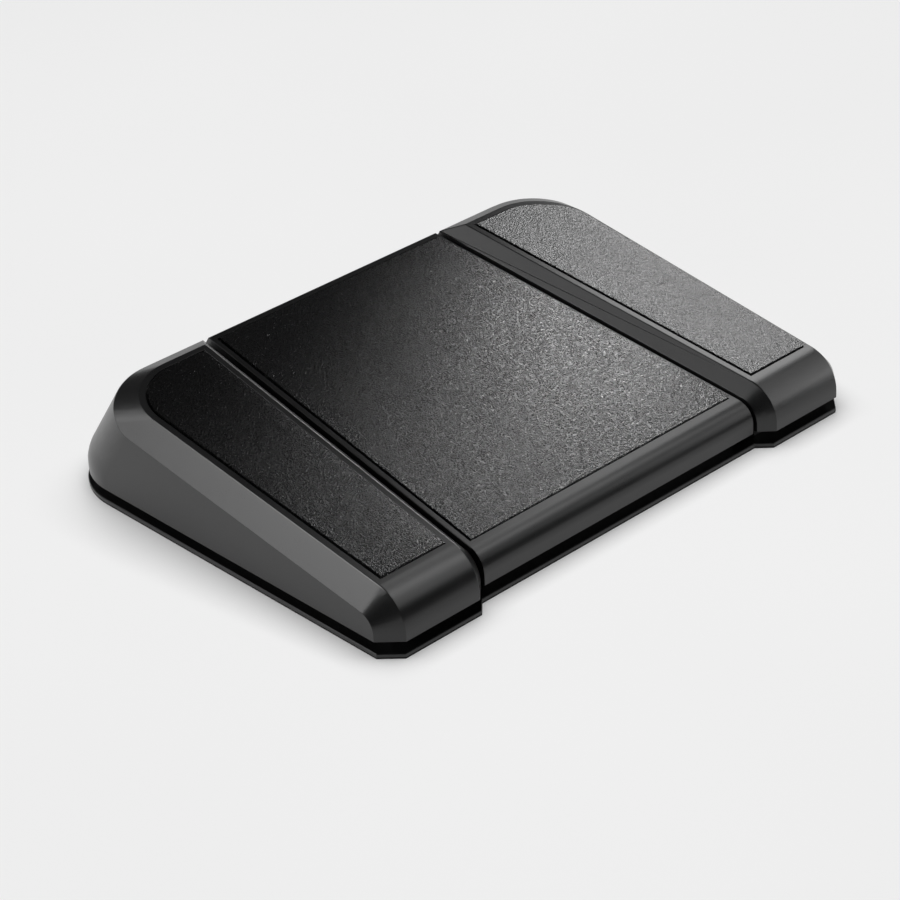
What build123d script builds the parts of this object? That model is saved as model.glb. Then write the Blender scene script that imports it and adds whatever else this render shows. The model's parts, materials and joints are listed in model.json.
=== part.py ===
from build123d import *
import math
import os

# Three-pedal foot switch. Millimetres, +X right, +Y towards the tall hinge end,
# +Z up, origin at the centre of the footprint on the floor.

# ---------------------------------------------------------------- driving dimensions
WIDTH = 242.0            # over the two outer pedals
DEPTH = 190.0            # nose of the outer pedals to the rear edge of the plate
NOSE_Y = -DEPTH / 2      # front of the outer pedals
REAR_Y = DEPTH / 2       # rear edge of the plate

MAT_T = 0.7              # rubber mat
PLATE_T = 1.4            # steel plate
MAT_Z = MAT_T
PLATE_Z = MAT_T + PLATE_T

PEDAL_Z = 7.0            # lower edge of every pedal
SLOPE = math.radians(8.81)
TAN_S, COS_S, SIN_S = math.tan(SLOPE), math.cos(SLOPE), math.sin(SLOPE)
TOP_Z = 22.63            # outer pedals' top plane above the nose line
MID_TOP_Z = 17.65        # middle pedal's top plane, carried forward to the same line
NOSE_R = 15.0
MID_NOSE_Y = NOSE_Y + 5.2
MID_NOSE_R = 8.5

WALL_X0 = 73.15          # inner wall of an outer pedal at the nose line
WALL_SLANT = 0.066       # it closes towards the middle, per mm of depth
MID_X0 = 71.15           # half width of the middle pedal at the nose line
MID_SLANT = 0.070

BACK_Y = 91.2            # lower back wall of the pedals
LEAN = math.radians(35.57)   # the back leans forward above the kink
KINK_Z = 14.5
KINK_R = 15.0
CORNER_R = 30.0          # plan radius of the outer back corner at the floor
CORNER_GROW = 2.2        # it opens by this much over the kink

BEVEL_OUT = 7.9          # 45 degree bevel, outer side and nose
BEVEL_IN = 5.1           # 45 degree bevel, inner side and nose
BAND_ANGLE = math.radians(31.6)  # bevel along the back, measured from the top plane
BAND_V = 158.67          # where it starts, along the slope from the nose line
BAND_R = 25.5            # plan radius of the bevel round the back corner

SHELL_T = 2.6            # pedal walls
SHELL_TOP = 3.0          # pedal top
POCKET = 1.2             # recess for a pad
PAD_PROUD = 0.5
BORDER = 2.5             # smooth frame round a pad
GROOVE = 0.7             # open groove between frame and pad
PAD_FRONT_V = 14.6       # front edge of the recess, along the slope

SPLIT_Y = -15.0          # the two halves of a pedal body meet here
FIT_Y = -94.7            # front edge of the plate

HINGE_Y = 73.3
HINGE_Z = 12.5
PIN_R = 2.5
BORE_R = 2.56
BUSH_R = 4.0
RIB_T = 5.0
EAR_T = 4.0
EAR_GAP = 1.4
PEDAL_SWING = 1.4        # degrees

SPRING_Y = -46.7
SPRING_Z0, SPRING_Z1 = 6.3, 17.5
SPRING_R = 5.6
WIRE_R = 0.65
SPRING_TURNS = 5.0

STOP_Y = -66.0
STOP_TOP = 6.4
HOOK_Y = -81.0

BOARD_Z = 3.3
BOARD_T = 1.6
BOARD_TOP = BOARD_Z + BOARD_T
BOARD_Y0, BOARD_Y1 = 9.3, 49.3
SWITCH_Y = 29.3
SWITCH_H = 6.5
PLUNGER_TOP = 12.9
STRIKER_Z = 13.25

os.makedirs("parts", exist_ok=True)


# ---------------------------------------------------------------- shared geometry
def wall_x(y, inset=0.0):
    """inner wall of the right pedal"""
    return WALL_X0 - WALL_SLANT * (y - NOSE_Y) + inset


def mid_x(y, inset=0.0):
    """half width of the middle pedal"""
    return MID_X0 - MID_SLANT * (y - NOSE_Y) - inset


def top_plane(z0, drop=0.0):
    """a plane on the sloping top: local x is X, local y runs up the slope"""
    origin = (0, NOSE_Y + drop * SIN_S, z0 - drop * COS_S)
    return Plane(origin=origin, x_dir=(1, 0, 0), z_dir=(0, -SIN_S, COS_S))


def back_levels(inset=0.0):
    """(z, y) stations of the back face from below the pedal up to above the top"""
    back, r = BACK_Y - inset, KINK_R - inset
    # the arc keeps its centre, so an inset face stays parallel
    t = KINK_R * math.tan(LEAN / 2)
    cy, cz = BACK_Y - KINK_R, KINK_Z - t
    stations = [(PEDAL_Z, back)]
    for k in range(0, 5):
        a = LEAN * k / 4
        stations.append((cz + r * math.sin(a), cy + r * math.cos(a)))
    z_end = 62.0
    z_last, y_last = stations[-1]
    stations.append((z_end, y_last - (z_end - z_last) * math.tan(LEAN)))
    return stations


def nose_profile(nose_y, z0, radius, drop, inset, low, far_y, high):
    """closed side profile in the YZ plane: nose, rounded top and sloping top plane"""
    y0 = nose_y + inset
    r = radius - inset

    def top(y):
        return z0 - drop / COS_S + TAN_S * (y - NOSE_Y)

    cy = y0 + r
    cz = top(cy) - r / COS_S
    tangent = (cy - r * SIN_S, cz + r * COS_S)
    mid_a = math.radians(90) + SLOPE + (math.radians(90) - SLOPE) / 2
    middle = (cy + r * math.cos(mid_a), cz + r * math.sin(mid_a))
    return [
        ("line", (y0, low), (y0, cz)),
        ("arc", (y0, cz), middle, tangent),
        ("line", tangent, (far_y, top(far_y))),
        ("line", (far_y, top(far_y)), (far_y, low)),
        ("line", (far_y, low), (y0, low)),
    ]


def profile_face(segments):
    with BuildSketch() as face:
        with BuildLine():
            for seg in segments:
                if seg[0] == "line":
                    Line(seg[1], seg[2])
                else:
                    ThreePointArc(seg[1], seg[2], seg[3])
        make_face()
    return face.sketch


def side_body(inset=0.0, drop=0.0, low=PEDAL_Z, bevel_out=BEVEL_OUT, bevel_in=BEVEL_IN,
              band_v=BAND_V, band_r=BAND_R):
    """solid of the right pedal, or of its hollow when inset"""
    outer_x = WIDTH / 2 - inset

    # front half: plan prism trimmed by the side profile, outer edge bevelled
    with BuildPart() as front:
        with BuildSketch(Plane.XY.offset(low)):
            with BuildLine():
                Polyline(
                    (wall_x(NOSE_Y - 5, inset), NOSE_Y - 5),
                    (outer_x, NOSE_Y - 5),
                    (outer_x, SPLIT_Y),
                    (wall_x(SPLIT_Y, inset), SPLIT_Y),
                    close=True,
                )
            make_face()
        extrude(amount=55)
        with BuildSketch(Plane.YZ):
            add(profile_face(nose_profile(NOSE_Y, TOP_Z, NOSE_R, drop, inset, low, SPLIT_Y + 20, 60)))
        extrude(amount=140, mode=Mode.INTERSECT)
        outer = [
            e for e in front.edges()
            if abs(e.center().X - outer_x) < 0.01
            and e.center().Y < SPLIT_Y - 1
            and e.center().Z > low + 0.1
        ]
        chamfer(outer, length=bevel_out)

    # back half: the leaning back with its rounded outer corner, stacked in ruled steps
    with BuildPart() as back:
        levels = back_levels(inset)
        levels[0] = (low, levels[0][1])
        for (z0, y0), (z1, y1) in zip(levels[:-1], levels[1:]):
            for z, y in ((z0, y0), (z1, y1)):
                r = CORNER_R - inset + CORNER_GROW * min(1.0, max(0.0, (z - 12.0) / 8.0))
                with BuildSketch(Plane.XY.offset(z)):
                    with BuildLine():
                        Line((wall_x(SPLIT_Y, inset), SPLIT_Y), (outer_x, SPLIT_Y))
                        Line((outer_x, SPLIT_Y), (outer_x, y - r))
                        ThreePointArc(
                            (outer_x, y - r),
                            (outer_x - r + r * math.cos(math.pi / 4),
                             y - r + r * math.sin(math.pi / 4)),
                            (outer_x - r, y),
                        )
                        Line((outer_x - r, y), (wall_x(y, inset), y))
                        Line((wall_x(y, inset), y), (wall_x(SPLIT_Y, inset), SPLIT_Y))
                    make_face()
            loft(ruled=True)
        # the roof: top outline growing downwards along the bevels
        top_x = WIDTH / 2 - BEVEL_OUT if inset == 0 else outer_x - bevel_out
        for d in (0.0, 12.0, 62.0):
            x1 = top_x + d
            v1 = band_v + d / math.tan(BAND_ANGLE)
            rr = band_r - 0.5 * min(d, 12.0)
            with BuildSketch(top_plane(TOP_Z, drop + d)):
                with BuildLine():
                    Line((10, 40), (x1, 40))
                    Line((x1, 40), (x1, v1 - rr))
                    ThreePointArc(
                        (x1, v1 - rr),
                        (x1 - rr + rr * math.cos(math.pi / 4),
                         v1 - rr + rr * math.sin(math.pi / 4)),
                        (x1 - rr, v1),
                    )
                    Line((x1 - rr, v1), (10, v1))
                    Line((10, v1), (10, 40))
                make_face()
        loft(ruled=True, mode=Mode.INTERSECT)

    with BuildPart() as body:
        add(front.part)
        add(back.part)
    with BuildPart() as done:
        add(body.part)
        inner = [
            e for e in done.edges()
            if abs(e.center().X - wall_x(e.center().Y, inset)) < 0.02
            and e.center().Z > low + 0.1
            and (e @ 1 - e @ 0).length > 1
            and (
                abs((e @ 0).Z - (TOP_Z - drop / COS_S + TAN_S * ((e @ 0).Y - NOSE_Y))) < 0.02
                or (e @ 0).Y < NOSE_Y + NOSE_R
            )
            and min((e @ 0).Y, (e @ 1).Y) < 60
        ]
        chamfer(inner, length=bevel_in)
    return done.part


def side_outline(border, v_front, extra=0.0):
    """pad outline on the top plane of the right pedal, border in from the bevels"""
    x1 = WIDTH / 2 - BEVEL_OUT - border
    v1 = BAND_V - border
    r = BAND_R - border

    def inner_x(v):
        return wall_x(NOSE_Y + v * COS_S, BEVEL_IN + border)

    with BuildSketch() as face:
        with BuildLine():
            Line((inner_x(v_front), v_front), (x1, v_front))
            Line((x1, v_front), (x1, v1 - r))
            ThreePointArc(
                (x1, v1 - r),
                (x1 - r + r * math.cos(math.pi / 4), v1 - r + r * math.sin(math.pi / 4)),
                (x1 - r, v1),
            )
            Line((x1 - r, v1), (inner_x(v1), v1))
            Line((inner_x(v1), v1), (inner_x(v_front), v_front))
        make_face()
    return face.sketch


def mid_body(inset=0.0, drop=0.0, low=PEDAL_Z):
    """solid of the middle pedal, or of its hollow when inset"""
    far = 110.0
    with BuildPart() as mid:
        levels = back_levels(inset)
        levels[0] = (low, levels[0][1])
        for (z0, y0), (z1, y1) in zip(levels[:-1], levels[1:]):
            for z, y in ((z0, y0), (z1, y1)):
                with BuildSketch(Plane.XY.offset(z)):
                    with BuildLine():
                        Polyline(
                            (-mid_x(NOSE_Y, inset), NOSE_Y),
                            (mid_x(NOSE_Y, inset), NOSE_Y),
                            (mid_x(y, inset), y),
                            (-mid_x(y, inset), y),
                            close=True,
                        )
                    make_face()
            loft(ruled=True)
        with BuildSketch(Plane.YZ.offset(-far)):
            add(profile_face(
                nose_profile(MID_NOSE_Y, MID_TOP_Z, MID_NOSE_R, drop, inset, low, far, 60)
            ))
        extrude(amount=2 * far, mode=Mode.INTERSECT)
    return mid.part


def mid_outline(border, v_front, v_back):
    """pad outline on the top plane of the middle pedal"""
    def half(v):
        return mid_x(NOSE_Y + v * COS_S, border)

    with BuildSketch() as face:
        with BuildLine():
            Polyline(
                (-half(v_front), v_front),
                (half(v_front), v_front),
                (half(v_back), v_back),
                (-half(v_back), v_back),
                close=True,
            )
        make_face()
    return face.sketch


def plate_outline(inset=0.0):
    """plan of the plate: bevelled nose corners, recess before the middle, round rear"""
    x1 = 120.6 - inset
    y0 = FIT_Y + inset
    y1 = REAR_Y - inset
    c = 7.2
    xa = 77.25 - inset
    dm = 5.1
    r = 33.0 - inset
    with BuildSketch() as face:
        with BuildLine():
            Line((x1, y0 + c), (x1, y1 - r))
            ThreePointArc((x1, y1 - r),
                          (x1 - r + r * math.cos(math.pi / 4), y1 - r + r * math.sin(math.pi / 4)),
                          (x1 - r, y1))
            Line((x1 - r, y1), (-x1 + r, y1))
            ThreePointArc((-x1 + r, y1),
                          (-x1 + r - r * math.cos(math.pi / 4), y1 - r + r * math.sin(math.pi / 4)),
                          (-x1, y1 - r))
            Line((-x1, y1 - r), (-x1, y0 + c))
            Line((-x1, y0 + c), (-x1 + c, y0))
            Line((-x1 + c, y0), (-xa, y0))
            Line((-xa, y0), (-xa + dm, y0 + dm))
            Line((-xa + dm, y0 + dm), (xa - dm, y0 + dm))
            Line((xa - dm, y0 + dm), (xa, y0))
            Line((xa, y0), (x1 - c, y0))
            Line((x1 - c, y0), (x1, y0 + c))
        make_face()
    return face.sketch


# ---------------------------------------------------------------- stations across the width
# hinge ears and ribs of each pedal: inner faces of the two ribs
RIGHT_RIBS = (75.0, 104.0)
MID_RIBS = (-44.0, 44.0)
RIGHT_CX = 92.0
SPRING_XS = {"left": (-101.5, -84.0), "middle": (-24.0, 24.0), "right": (84.0, 101.5)}
STOP_XS = {"left": (-104.5, -84.0), "middle": (-45.0, 45.0), "right": (84.0, 104.5)}
HOOK_XS = {"left": (-95.0,), "middle": (-22.0, 22.0), "right": (95.0,)}
SWITCH_XS = {"left": -91.0, "middle": 0.0, "right": 91.0}
SWING_STOP = math.sin(math.radians(PEDAL_SWING)) * (HINGE_Y - STOP_Y)
STOP_BOSS_Z = STOP_TOP + SWING_STOP + 0.35
SCREW_XY = [(-95.0, -58.0), (95.0, -58.0), (-96.0, -4.0), (96.0, -4.0),
            (-34.0, -64.0), (34.0, -64.0), (-34.0, -4.0), (34.0, -4.0),
            (-88.0, 66.0), (88.0, 66.0), (-30.0, 80.0), (30.0, 80.0)]
BOARD_SCREWS = [(-73.0, 14.5), (73.0, 14.5), (-73.0, 44.0), (73.0, 44.0), (-22.0, 44.0), (22.0, 44.0)]


# ---------------------------------------------------------------- pedals
def top_height(z0, y, drop=SHELL_TOP):
    """height of the underside of a pedal's top skin at y"""
    return z0 + TAN_S * (y - NOSE_Y) - drop / COS_S


def pedal(outer_solid, inner_solid, pocket, ribs, spring_xs, stop_xs, hook_xs, switch_x, z0, nose_y):
    """hollow shell with everything that hangs inside it"""
    with BuildPart() as inside:
        # two hinge ribs from the top skin down to the pin
        for x in ribs:
            x_start = x if x > sum(ribs) / len(ribs) else x - RIB_T
            with BuildSketch(Plane.YZ.offset(x_start)):
                with BuildLine():
                    Polyline(
                        (HINGE_Y - 6.2, HINGE_Z),
                        (HINGE_Y - 20.0, 60.0),
                        (HINGE_Y + 20.0, 60.0),
                        (HINGE_Y + 6.2, HINGE_Z),
                        close=True,
                    )
                make_face()
                with Locations((HINGE_Y, HINGE_Z)):
                    Circle(6.2)
                    Circle(BUSH_R, mode=Mode.SUBTRACT)
            extrude(amount=RIB_T)
        # spring cups
        for x in spring_xs:
            with BuildSketch(Plane.XY.offset(SPRING_Z1)):
                with Locations((x, SPRING_Y)):
                    Circle(8.4)
            extrude(amount=40)
            with BuildSketch(Plane.XY.offset(SPRING_Z1 - 3.2)):
                with Locations((x, SPRING_Y)):
                    Circle(3.6)
            extrude(amount=4)
        # feet that meet the bumpers
        for x in stop_xs:
            with BuildSketch(Plane.XY.offset(STOP_BOSS_Z)):
                with Locations((x, STOP_Y)):
                    Circle(5.0)
            extrude(amount=40)
        # catch that keeps the pedal from lifting
        for x in hook_xs:
            with BuildSketch(Plane.YZ.offset(x - 6.0)):
                with BuildLine():
                    Polyline(
                        (HOOK_Y - 1.3, 6.6),
                        (HOOK_Y + 4.6, 6.6),
                        (HOOK_Y + 4.6, 8.4),
                        (HOOK_Y + 1.3, 8.6),
                        (HOOK_Y + 1.3, 60.0),
                        (HOOK_Y - 1.3, 60.0),
                        close=True,
                    )
                make_face()
            extrude(amount=12)
        # boss for the striker
        with BuildSketch(Plane.XY.offset(24.0)):
            with Locations((switch_x, SWITCH_Y)):
                Circle(5.2)
                Circle(3.0, mode=Mode.SUBTRACT)
        extrude(amount=40)
        for y0, y1 in ((SWITCH_Y - 16, SWITCH_Y - 4.6), (SWITCH_Y + 4.6, SWITCH_Y + 16)):
            with BuildSketch(Plane.XY.offset(26.0)):
                with Locations((switch_x, (y0 + y1) / 2)):
                    Rectangle(1.8, y1 - y0)
            extrude(amount=40)
        # longitudinal stiffening ribs under the top skin
        for x in (spring_xs[0], spring_xs[1]):
            with BuildSketch(Plane.YZ.offset(x - 0.9)):
                with BuildLine():
                    Polyline(
                        (SPRING_Y + 7.0, top_height(z0, SPRING_Y + 7.0) - 4.0),
                        (HINGE_Y - 16.0, top_height(z0, HINGE_Y - 16.0) - 7.0),
                        (HINGE_Y - 16.0, 70.0),
                        (SPRING_Y + 7.0, 60.0),
                        close=True,
                    )
                make_face()
            extrude(amount=1.8)
        add(inner_solid, mode=Mode.INTERSECT)
    with BuildPart() as shell:
        add(outer_solid)
        add(inner_solid, mode=Mode.SUBTRACT)
        add(inside.part)
        with BuildSketch(top_plane(z0, POCKET)):
            add(pocket)
        extrude(amount=5, mode=Mode.SUBTRACT)
    return shell.part


outer_solid = side_body()
inner_solid = side_body(SHELL_T, SHELL_TOP, low=PEDAL_Z - 3, bevel_out=6.0, bevel_in=3.2,
                        band_v=BAND_V - 0.1, band_r=BAND_R - 2.0)
with BuildPart() as pedal_right:
    add(pedal(outer_solid, inner_solid, side_outline(BORDER, PAD_FRONT_V), RIGHT_RIBS,
              SPRING_XS["right"], STOP_XS["right"], HOOK_XS["right"], SWITCH_XS["right"],
              TOP_Z, NOSE_Y))
pedal_right.part.label = "pedal_right"
export_step(pedal_right.part, "parts/pedal_right.step")
with BuildPart() as pedal_left:
    add(pedal_right.part.mirror(Plane.YZ))
pedal_left.part.label = "pedal_left"
export_step(pedal_left.part, "parts/pedal_left.step")

MID_EDGE_V = (BACK_Y - (MID_TOP_Z + TAN_S * 160.0 - KINK_Z) * math.tan(LEAN) - NOSE_Y) / COS_S
mid_outer = mid_body()
mid_inner = mid_body(SHELL_T, SHELL_TOP, low=PEDAL_Z - 3)
with BuildPart() as pedal_middle:
    add(pedal(mid_outer, mid_inner, mid_outline(2.2, PAD_FRONT_V + 0.4, MID_EDGE_V - 3.2), MID_RIBS,
              SPRING_XS["middle"], STOP_XS["middle"], HOOK_XS["middle"], SWITCH_XS["middle"],
              MID_TOP_Z, MID_NOSE_Y))
    # notch over the socket bezel
    with BuildSketch(Plane.XZ.offset(-100)):
        with Locations((0, PEDAL_Z)):
            Rectangle(32, 11.0)
    extrude(amount=20, mode=Mode.SUBTRACT)
pedal_middle.part.label = "pedal_middle"
export_step(pedal_middle.part, "parts/pedal_middle.step")

# ---------------------------------------------------------------- textured pads
with BuildPart() as pad_right:
    with BuildSketch(top_plane(TOP_Z, POCKET)):
        add(side_outline(BORDER + GROOVE, PAD_FRONT_V + GROOVE))
    extrude(amount=POCKET + PAD_PROUD)
    rim = pad_right.faces().sort_by(SortBy.AREA)[-2:]
    upper = max(rim, key=lambda f: f.center().Z)
    fillet(upper.edges(), radius=0.35)
pad_right.part.label = "pad_right"
export_step(pad_right.part, "parts/pad_right.step")
with BuildPart() as pad_left:
    add(pad_right.part.mirror(Plane.YZ))
pad_left.part.label = "pad_left"
export_step(pad_left.part, "parts/pad_left.step")
with BuildPart() as pad_middle:
    with BuildSketch(top_plane(MID_TOP_Z, POCKET)):
        add(mid_outline(2.2 + GROOVE, PAD_FRONT_V + 0.4 + GROOVE, MID_EDGE_V - 3.2 - GROOVE))
    extrude(amount=POCKET + PAD_PROUD)
    rim = pad_middle.faces().sort_by(SortBy.AREA)[-2:]
    upper = max(rim, key=lambda f: f.center().Z)
    fillet(upper.edges(), radius=0.35)
pad_middle.part.label = "pad_middle"
export_step(pad_middle.part, "parts/pad_middle.step")

# ---------------------------------------------------------------- bushings and strikers
def bushings(ribs):
    """one flanged bushing in each rib, flange towards the ear"""
    with BuildPart() as b:
        mid = sum(ribs) / 2
        for x in ribs:
            s = 1 if x > mid else -1
            with BuildSketch(Plane.YZ.offset(x + (0 if s > 0 else -RIB_T))):
                with Locations((HINGE_Y, HINGE_Z)):
                    Circle(BUSH_R)
                    Circle(BORE_R, mode=Mode.SUBTRACT)
            extrude(amount=RIB_T)
            with BuildSketch(Plane.YZ.offset(x - 0.8 if s > 0 else x)):
                with Locations((HINGE_Y, HINGE_Z)):
                    Circle(5.6)
                    Circle(BORE_R, mode=Mode.SUBTRACT)
            extrude(amount=0.8)
    return b.part


def striker(x):
    """stepped push pin pressed into the boss over the switch"""
    with BuildPart() as p:
        with BuildSketch(Plane.XY.offset(STRIKER_Z)):
            with Locations((x, SWITCH_Y)):
                Circle(2.4)
        extrude(amount=5.0)
        with BuildSketch(Plane.XY.offset(STRIKER_Z + 5.0)):
            with Locations((x, SWITCH_Y)):
                Circle(4.4)
        extrude(amount=24.0 - STRIKER_Z - 5.0)
        with BuildSketch(Plane.XY.offset(24.0)):
            with Locations((x, SWITCH_Y)):
                Circle(3.0)
        extrude(amount=6.0)
        tip = p.edges().filter_by(GeomType.CIRCLE).sort_by(Axis.Z)[0]
        fillet(tip, radius=0.8)
    return p.part


LEFT_RIBS = (-RIGHT_RIBS[1], -RIGHT_RIBS[0])
for side, ribs in (("left", LEFT_RIBS), ("middle", MID_RIBS), ("right", RIGHT_RIBS)):
    with BuildPart() as part:
        add(bushings(ribs))
    part.part.label = "bushings_" + side
    export_step(part.part, "parts/bushings_" + side + ".step")
    with BuildPart() as part:
        add(striker(SWITCH_XS[side]))
    part.part.label = "striker_" + side
    export_step(part.part, "parts/striker_" + side + ".step")

# ---------------------------------------------------------------- plate and mat
with BuildPart() as rubber_mat:
    with BuildSketch():
        add(plate_outline(0.1))
        with Locations(*SCREW_XY):
            Circle(4.2, mode=Mode.SUBTRACT)
    extrude(amount=MAT_T)
rubber_mat.part.label = "rubber_mat"
export_step(rubber_mat.part, "parts/rubber_mat.step")

with BuildPart() as base_plate:
    with BuildSketch(Plane.XY.offset(MAT_Z)):
        add(plate_outline())
    extrude(amount=PLATE_T)
    rim = base_plate.faces().sort_by(Axis.Z)[-1].edges()
    chamfer(rim, length=0.25)
    for x, y in SCREW_XY:
        with BuildSketch(Plane.XY.offset(MAT_Z)):
            with Locations((x, y)):
                Circle(2.9)
        with BuildSketch(Plane.XY.offset(MAT_Z + 1.3)):
            with Locations((x, y)):
                Circle(1.6)
        loft(mode=Mode.SUBTRACT)
        with BuildSketch(Plane.XY.offset(MAT_Z)):
            with Locations((x, y)):
                Circle(1.6)
        extrude(amount=PLATE_T, mode=Mode.SUBTRACT)
base_plate.part.label = "base_plate"
export_step(base_plate.part, "parts/base_plate.step")

# ---------------------------------------------------------------- chassis
FLOOR_Z = 4.3
SPINE_Z = 5.6
with BuildPart() as chassis:
    # pan under the board and across the hinge end
    with BuildSketch(Plane.XY.offset(PLATE_Z)):
        with BuildLine():
            Polyline(
                (-111.5, 8.0), (111.5, 8.0), (111.5, 58.0), (98.0, 77.0), (86.0, 82.0),
                (-86.0, 82.0), (-98.0, 77.0), (-111.5, 58.0), close=True,
            )
        make_face()
    extrude(amount=BOARD_Z - PLATE_Z)
    # thicker rear beam, cleared for the board's stem
    with BuildSketch(Plane.XY.offset(BOARD_Z)):
        with BuildLine():
            Polyline(
                (-111.5, 51.5), (111.5, 51.5), (111.5, 58.0), (98.0, 77.0), (86.0, 82.0),
                (-86.0, 82.0), (-98.0, 77.0), (-111.5, 58.0), close=True,
            )
        make_face()
        with Locations((0, 67)):
            Rectangle(24.6, 50, mode=Mode.SUBTRACT)
    extrude(amount=SPINE_Z - BOARD_Z)
    # tongues that reach forward under each pedal
    for x0, x1, x2, x3, y0 in ((-112.0, -76.3, -70.2, -112.0, -85.5), (76.3, 112.0, 112.0, 70.2, -85.5)):
        with BuildSketch(Plane.XY.offset(PLATE_Z)):
            with BuildLine():
                Polyline((x0, y0), (x1, y0), (x2, 8.4), (x3, 8.4), close=True)
            make_face()
        extrude(amount=FLOOR_Z - PLATE_Z)
    with BuildSketch(Plane.XY.offset(PLATE_Z)):
        with BuildLine():
            Polyline((-66.0, -84.0), (66.0, -84.0), (59.5, 8.4), (-59.5, 8.4), close=True)
        make_face()
    extrude(amount=FLOOR_Z - PLATE_Z)
    # upstanding rims of the tongues
    for x0, x1, x2, x3, y0 in ((-112.0, -76.3, -70.2, -112.0, -85.5), (76.3, 112.0, 112.0, 70.2, -85.5),
                               (-66.0, 66.0, 59.5, -59.5, -84.0)):
        with BuildSketch(Plane.XY.offset(FLOOR_Z)):
            with BuildLine():
                Polyline((x0, y0), (x1, y0), (x2, 8.0), (x3, 8.0), close=True)
            make_face()
            offset(amount=-1.8, mode=Mode.SUBTRACT)
        extrude(amount=3.2)
    # ears that carry the hinge pins
    for ribs in (LEFT_RIBS, MID_RIBS, RIGHT_RIBS):
        mid = sum(ribs) / 2
        for x in ribs:
            x0 = x - EAR_GAP - EAR_T if x > mid else x + EAR_GAP
            with BuildSketch(Plane.YZ.offset(x0)):
                with BuildLine():
                    Polyline(
                        (HINGE_Y - 12.5, SPINE_Z - 1.0), (HINGE_Y - 6.0, HINGE_Z),
                        (HINGE_Y + 6.0, HINGE_Z), (HINGE_Y + 8.2, SPINE_Z - 1.0), close=True,
                    )
                make_face()
                with Locations((HINGE_Y, HINGE_Z)):
                    Circle(6.0)
                    Circle(PIN_R, mode=Mode.SUBTRACT)
            extrude(amount=EAR_T)
    # spring seats
    for side in ("left", "middle", "right"):
        for x in SPRING_XS[side]:
            with BuildSketch(Plane.XY.offset(FLOOR_Z - 0.5)):
                with Locations((x, SPRING_Y)):
                    Circle(8.4)
            extrude(amount=SPRING_Z0 - FLOOR_Z + 0.5)
            with BuildSketch(Plane.XY.offset(SPRING_Z0 - 0.5)):
                with Locations((x, SPRING_Y)):
                    Circle(3.6)
            extrude(amount=3.7)
        # bridges that the catches hook under
        for x in HOOK_XS[side]:
            with BuildSketch(Plane.XZ.offset(-(HOOK_Y + 6.4))):
                with BuildLine():
                    Polyline(
                        (x - 12.0, FLOOR_Z - 0.5), (x + 12.0, FLOOR_Z - 0.5), (x + 12.0, 11.4),
                        (x - 12.0, 11.4), close=True,
                    )
                make_face()
                with Locations((x, 6.3)):
                    Rectangle(17.0, 5.6, mode=Mode.SUBTRACT)
            extrude(amount=4.2)
    # socket bezel behind the middle pedal
    with BuildSketch(Plane.XZ.offset(-94.7)):
        with BuildLine():
            Polyline((-12.3, PLATE_Z), (12.3, PLATE_Z), (12.3, 9.2), (11.1, 10.4),
                     (-11.1, 10.4), (-12.3, 9.2), close=True)
        make_face()
        with Locations((0, BOARD_TOP + 1.6)):
            SlotOverall(9.6, 3.8, mode=Mode.SUBTRACT)
    extrude(amount=3.0)
    for sx in (-1, 1):
        with BuildSketch(Plane.XY.offset(PLATE_Z)):
            with Locations((sx * 15.0, 86.7)):
                Rectangle(5.4, 16.0)
        extrude(amount=SPINE_Z - PLATE_Z)
    with BuildSketch(Plane.XY.offset(PLATE_Z)):
        with Locations((0, 86.7)):
            Rectangle(26.0, 15.0)
    extrude(amount=BOARD_Z - PLATE_Z)
    # clear the hooks' feet and the screw bores
    for side in ("left", "middle", "right"):
        for x in HOOK_XS[side]:
            with BuildSketch(Plane.XY.offset(PLATE_Z)):
                with Locations((x, HOOK_Y + 1.6)):
                    Rectangle(14.0, 7.6)
            extrude(amount=8, mode=Mode.SUBTRACT)
    for x, y in SCREW_XY:
        if y < 8:
            with BuildSketch(Plane.XY.offset(FLOOR_Z - 0.5)):
                with Locations((x, y)):
                    Circle(4.0)
            extrude(amount=3.5)
        with BuildSketch(Plane.XY.offset(PLATE_Z)):
            with Locations((x, y)):
                Circle(1.5)
        extrude(amount=(5.0 if y < 8 else 2.6), mode=Mode.SUBTRACT)
    for x, y in BOARD_SCREWS:
        with BuildSketch(Plane.XY.offset(PLATE_Z)):
            with Locations((x, y)):
                Circle(1.0)
        extrude(amount=BOARD_Z - PLATE_Z, mode=Mode.SUBTRACT)
chassis.part.label = "chassis"
export_step(chassis.part, "parts/chassis.step")

# ---------------------------------------------------------------- hinge pins
for side, ribs in (("left", LEFT_RIBS), ("middle", MID_RIBS), ("right", RIGHT_RIBS)):
    with BuildPart() as part:
        with BuildSketch(Plane.YZ.offset(ribs[0] - RIB_T + 0.3)):
            with Locations((HINGE_Y, HINGE_Z)):
                Circle(PIN_R)
        extrude(amount=ribs[1] - ribs[0] + 2 * RIB_T - 0.6)
        chamfer(part.edges().filter_by(GeomType.CIRCLE), length=0.4)
    part.part.label = "hinge_pin_" + side
    export_step(part.part, "parts/hinge_pin_" + side + ".step")

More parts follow.
